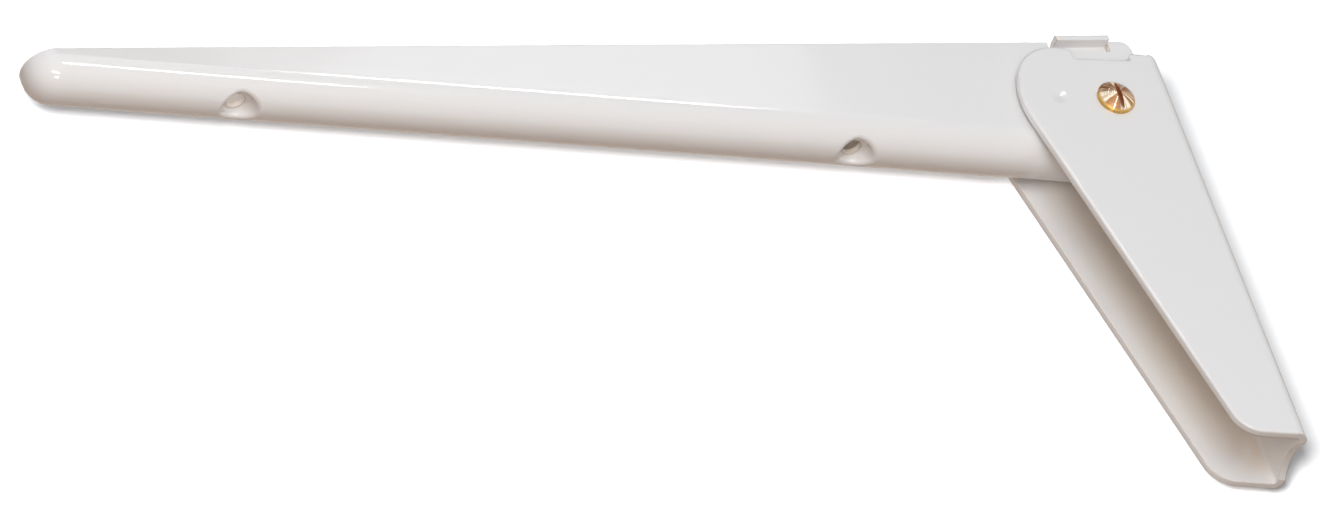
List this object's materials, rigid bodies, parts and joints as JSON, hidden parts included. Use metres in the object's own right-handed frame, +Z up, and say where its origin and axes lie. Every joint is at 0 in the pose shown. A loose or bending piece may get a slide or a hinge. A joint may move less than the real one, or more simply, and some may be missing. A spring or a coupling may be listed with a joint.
{
  "type": "folding shelf bracket",
  "caption": "Folding shelf bracket: a tapering pressed arm, open on top, pivots on a brass screw in a channel-shaped wall bracket and folds down flat.",
  "frame": {"origin": "on the wall face, on the centre line, level with the pivot", "axes": "+X out from the wall along the open arm, +Z up, +Y towards the screw's slotted head"},
  "size_m": [0.3, 0.0278, 0.1284],
  "materials": {
    "white_enamel": "gloss",
    "brass": "polished",
    "plated_steel": "satin"
  },
  "bodies": {
    "wall_part": {"wall_bracket": "white_enamel", "pivot_screw": "brass", "pivot_washer": "brass", "pivot_nut": "brass"},
    "pivot_slider": {"pivot_sleeve": "plated_steel"},
    "arm_part": {"support_arm": "white_enamel"}
  },
  "joints": [
    {"name": "arm_fold", "type": "hinge", "parent": "wall_part", "child": "pivot_slider", "pos_m": [0.0166, 0, 0], "axis": [0, 1, 0], "range_deg": [0, 90]},
    {"name": "arm_lift", "type": "slide", "parent": "pivot_slider", "child": "arm_part", "axis": [0, 0, 1], "range_m": [0, 0.0102]}
  ],
  "couplings": [
    {"joint": "arm_lift", "follows": "arm_fold", "m_per_rad": 0.0064935}
  ]
}
